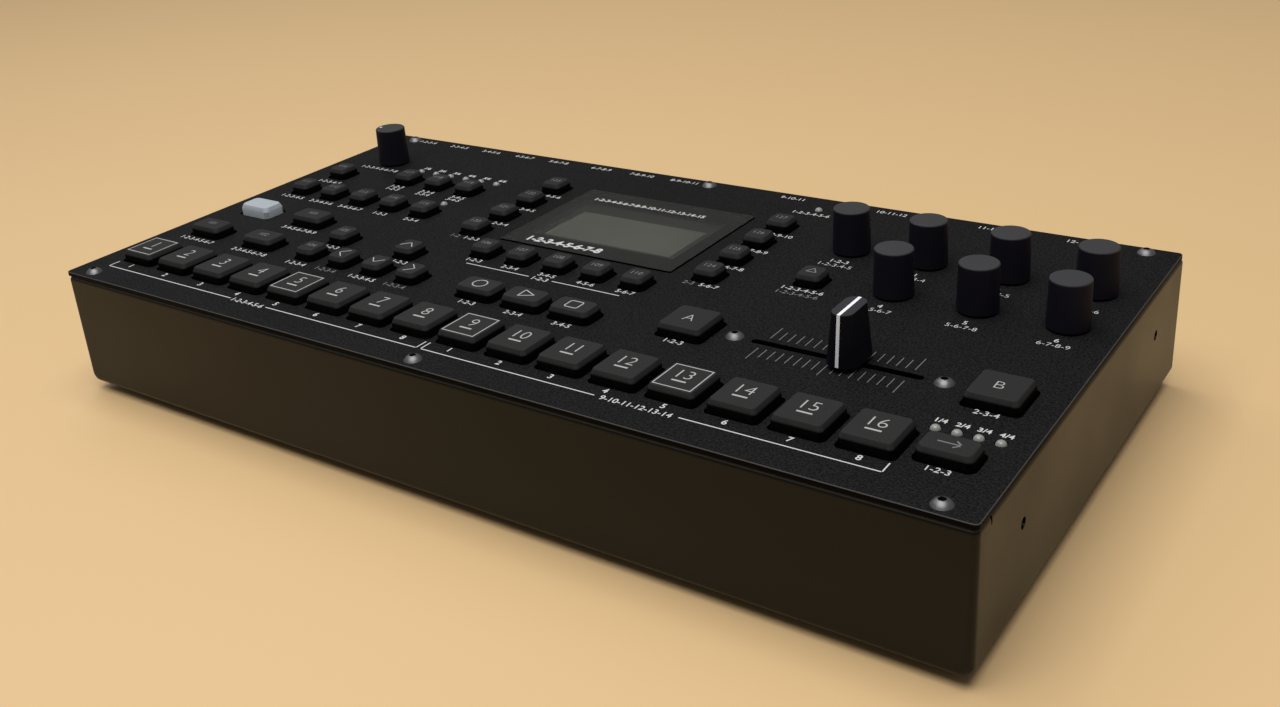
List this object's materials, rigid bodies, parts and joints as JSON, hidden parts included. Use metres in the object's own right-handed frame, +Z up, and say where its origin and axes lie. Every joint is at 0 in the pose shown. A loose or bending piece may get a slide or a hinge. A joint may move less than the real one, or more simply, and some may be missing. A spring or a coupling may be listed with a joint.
{
  "type": "audio sampler",
  "caption": "Desktop audio sampler: flat steel case with numbered step keys, small control keys, turning knobs, a sliding fader and a display window, with jacks at the back.",
  "frame": {"origin": "on the surface that the feet stand on, under the middle of the whole object's box", "axes": "+X to the right as the user sits, +Y to the rear sockets, +Z up"},
  "size_m": [0.34, 0.184, 0.0645],
  "materials": {
    "panel_paint": "matte",
    "case_paint": "matte",
    "black_steel": "satin",
    "plain_steel": "satin",
    "grey_key": "matte",
    "pale_key": "matte",
    "knob_plastic": "matte",
    "black_plastic": "matte",
    "window": "gloss",
    "led_lens": "gloss",
    "board": "satin",
    "foot_rubber": "matte",
    "print_ink": "matte"
  },
  "bodies": {
    "chassis": {"top_panel": "panel_paint", "bottom_case": "case_paint", "rear_panel": "case_paint", "rubber_feet": "foot_rubber", "case_screws": "black_steel", "display_window": "window", "display_module": "black_plastic", "control_board": "board", "key_switches": "black_plastic", "status_leds": "led_lens", "rotary_bodies": "plain_steel", "fader_body": "plain_steel", "main_board": "board", "board_standoffs": "plain_steel", "audio_jacks": "black_plastic", "jack_nuts": "plain_steel", "midi_sockets": "black_plastic", "card_slot": "plain_steel", "usb_socket": "plain_steel", "dc_inlet": "black_plastic", "power_switch_body": "black_plastic"},
    "knob_level": {"knob_level": "knob_plastic"},
    "knob_a": {"knob_a": "knob_plastic"},
    "knob_b": {"knob_b": "knob_plastic"},
    "knob_c": {"knob_c": "knob_plastic"},
    "knob_d": {"knob_d": "knob_plastic"},
    "knob_e": {"knob_e": "knob_plastic"},
    "knob_f": {"knob_f": "knob_plastic"},
    "knob_volume": {"knob_volume": "knob_plastic"},
    "fader": {"fader_cap": "knob_plastic", "fader_lever": "plain_steel"},
    "power_button": {"power_button": "black_plastic"},
    "function_key": {"function_key": "pale_key"},
    "record_key": {"record_key": "grey_key"},
    "play_key": {"play_key": "grey_key"},
    "stop_key": {"stop_key": "grey_key"},
    "page_key": {"page_key": "grey_key"},
    "scene_a_key": {"scene_a_key": "grey_key"},
    "scene_b_key": {"scene_b_key": "grey_key"},
    "mode_keys": {"mode_keys": "grey_key"},
    "navigation_keys": {"navigation_keys": "grey_key"},
    "parameter_keys": {"parameter_keys": "grey_key"},
    "menu_keys": {"menu_keys": "grey_key"},
    "track_keys": {"track_keys": "grey_key"},
    "step_key_01": {"step_key_01": "grey_key"},
    "step_key_02": {"step_key_02": "grey_key"},
    "step_key_03": {"step_key_03": "grey_key"},
    "step_key_04": {"step_key_04": "grey_key"},
    "step_key_05": {"step_key_05": "grey_key"},
    "step_key_06": {"step_key_06": "grey_key"},
    "step_key_07": {"step_key_07": "grey_key"},
    "step_key_08": {"step_key_08": "grey_key"},
    "step_key_09": {"step_key_09": "grey_key"},
    "step_key_10": {"step_key_10": "grey_key"},
    "step_key_11": {"step_key_11": "grey_key"},
    "step_key_12": {"step_key_12": "grey_key"},
    "step_key_13": {"step_key_13": "grey_key"},
    "step_key_14": {"step_key_14": "grey_key"},
    "step_key_15": {"step_key_15": "grey_key"},
    "step_key_16": {"step_key_16": "grey_key"}
  },
  "joints": [
    {"name": "knob_level_turn", "type": "hinge", "parent": "chassis", "child": "knob_level", "pos_m": [0.0742, 0.0424, 0.05], "axis": [0, 0, 1], "continuous": true},
    {"name": "knob_a_turn", "type": "hinge", "parent": "chassis", "child": "knob_a", "pos_m": [0.1012, 0.0424, 0.05], "axis": [0, 0, 1], "continuous": true},
    {"name": "knob_b_turn", "type": "hinge", "parent": "chassis", "child": "knob_b", "pos_m": [0.1282, 0.0424, 0.05], "axis": [0, 0, 1], "continuous": true},
    {"name": "knob_c_turn", "type": "hinge", "parent": "chassis", "child": "knob_c", "pos_m": [0.1552, 0.0424, 0.05], "axis": [0, 0, 1], "continuous": true},
    {"name": "knob_d_turn", "type": "hinge", "parent": "chassis", "child": "knob_d", "pos_m": [0.1012, 0.0158, 0.05], "axis": [0, 0, 1], "continuous": true},
    {"name": "knob_e_turn", "type": "hinge", "parent": "chassis", "child": "knob_e", "pos_m": [0.1282, 0.0158, 0.05], "axis": [0, 0, 1], "continuous": true},
    {"name": "knob_f_turn", "type": "hinge", "parent": "chassis", "child": "knob_f", "pos_m": [0.1552, 0.0158, 0.05], "axis": [0, 0, 1], "continuous": true},
    {"name": "knob_volume_turn", "type": "hinge", "parent": "chassis", "child": "knob_volume", "pos_m": [-0.145, 0.052, 0.05], "axis": [0, 0, 1], "range_deg": [-258, 42]},
    {"name": "fader_slide", "type": "slide", "parent": "chassis", "child": "fader", "axis": [1, 0, 0], "range_m": [-0.0271, 0.018]},
    {"name": "power_button_press", "type": "slide", "parent": "chassis", "child": "power_button", "axis": [0, -1, 0], "range_m": [0, 0.003], "stiffness_N_per_m": 400},
    {"name": "function_key_press", "type": "slide", "parent": "chassis", "child": "function_key", "axis": [0, 0, -1], "range_m": [0, 0.0008], "stiffness_N_per_m": 600},
    {"name": "record_key_press", "type": "slide", "parent": "chassis", "child": "record_key", "axis": [0, 0, -1], "range_m": [0, 0.0008], "stiffness_N_per_m": 600},
    {"name": "play_key_press", "type": "slide", "parent": "chassis", "child": "play_key", "axis": [0, 0, -1], "range_m": [0, 0.0008], "stiffness_N_per_m": 600},
    {"name": "stop_key_press", "type": "slide", "parent": "chassis", "child": "stop_key", "axis": [0, 0, -1], "range_m": [0, 0.0008], "stiffness_N_per_m": 600},
    {"name": "page_key_press", "type": "slide", "parent": "chassis", "child": "page_key", "axis": [0, 0, -1], "range_m": [0, 0.0008], "stiffness_N_per_m": 600},
    {"name": "scene_a_key_press", "type": "slide", "parent": "chassis", "child": "scene_a_key", "axis": [0, 0, -1], "range_m": [0, 0.0008], "stiffness_N_per_m": 600},
    {"name": "scene_b_key_press", "type": "slide", "parent": "chassis", "child": "scene_b_key", "axis": [0, 0, -1], "range_m": [0, 0.0008], "stiffness_N_per_m": 600},
    {"name": "mode_keys_press", "type": "slide", "parent": "chassis", "child": "mode_keys", "axis": [0, 0, -1], "range_m": [0, 0.0008], "stiffness_N_per_m": 600},
    {"name": "navigation_keys_press", "type": "slide", "parent": "chassis", "child": "navigation_keys", "axis": [0, 0, -1], "range_m": [0, 0.0008], "stiffness_N_per_m": 600},
    {"name": "parameter_keys_press", "type": "slide", "parent": "chassis", "child": "parameter_keys", "axis": [0, 0, -1], "range_m": [0, 0.0008], "stiffness_N_per_m": 600},
    {"name": "menu_keys_press", "type": "slide", "parent": "chassis", "child": "menu_keys", "axis": [0, 0, -1], "range_m": [0, 0.0008], "stiffness_N_per_m": 600},
    {"name": "track_keys_press", "type": "slide", "parent": "chassis", "child": "track_keys", "axis": [0, 0, -1], "range_m": [0, 0.0008], "stiffness_N_per_m": 600},
    {"name": "step_key_01_press", "type": "slide", "parent": "chassis", "child": "step_key_01", "axis": [0, 0, -1], "range_m": [0, 0.0008], "stiffness_N_per_m": 600},
    {"name": "step_key_02_press", "type": "slide", "parent": "chassis", "child": "step_key_02", "axis": [0, 0, -1], "range_m": [0, 0.0008], "stiffness_N_per_m": 600},
    {"name": "step_key_03_press", "type": "slide", "parent": "chassis", "child": "step_key_03", "axis": [0, 0, -1], "range_m": [0, 0.0008], "stiffness_N_per_m": 600},
    {"name": "step_key_04_press", "type": "slide", "parent": "chassis", "child": "step_key_04", "axis": [0, 0, -1], "range_m": [0, 0.0008], "stiffness_N_per_m": 600},
    {"name": "step_key_05_press", "type": "slide", "parent": "chassis", "child": "step_key_05", "axis": [0, 0, -1], "range_m": [0, 0.0008], "stiffness_N_per_m": 600},
    {"name": "step_key_06_press", "type": "slide", "parent": "chassis", "child": "step_key_06", "axis": [0, 0, -1], "range_m": [0, 0.0008], "stiffness_N_per_m": 600},
    {"name": "step_key_07_press", "type": "slide", "parent": "chassis", "child": "step_key_07", "axis": [0, 0, -1], "range_m": [0, 0.0008], "stiffness_N_per_m": 600},
    {"name": "step_key_08_press", "type": "slide", "parent": "chassis", "child": "step_key_08", "axis": [0, 0, -1], "range_m": [0, 0.0008], "stiffness_N_per_m": 600},
    {"name": "step_key_09_press", "type": "slide", "parent": "chassis", "child": "step_key_09", "axis": [0, 0, -1], "range_m": [0, 0.0008], "stiffness_N_per_m": 600},
    {"name": "step_key_10_press", "type": "slide", "parent": "chassis", "child": "step_key_10", "axis": [0, 0, -1], "range_m": [0, 0.0008], "stiffness_N_per_m": 600},
    {"name": "step_key_11_press", "type": "slide", "parent": "chassis", "child": "step_key_11", "axis": [0, 0, -1], "range_m": [0, 0.0008], "stiffness_N_per_m": 600},
    {"name": "step_key_12_press", "type": "slide", "parent": "chassis", "child": "step_key_12", "axis": [0, 0, -1], "range_m": [0, 0.0008], "stiffness_N_per_m": 600},
    {"name": "step_key_13_press", "type": "slide", "parent": "chassis", "child": "step_key_13", "axis": [0, 0, -1], "range_m": [0, 0.0008], "stiffness_N_per_m": 600},
    {"name": "step_key_14_press", "type": "slide", "parent": "chassis", "child": "step_key_14", "axis": [0, 0, -1], "range_m": [0, 0.0008], "stiffness_N_per_m": 600},
    {"name": "step_key_15_press", "type": "slide", "parent": "chassis", "child": "step_key_15", "axis": [0, 0, -1], "range_m": [0, 0.0008], "stiffness_N_per_m": 600},
    {"name": "step_key_16_press", "type": "slide", "parent": "chassis", "child": "step_key_16", "axis": [0, 0, -1], "range_m": [0, 0.0008], "stiffness_N_per_m": 600}
  ]
}
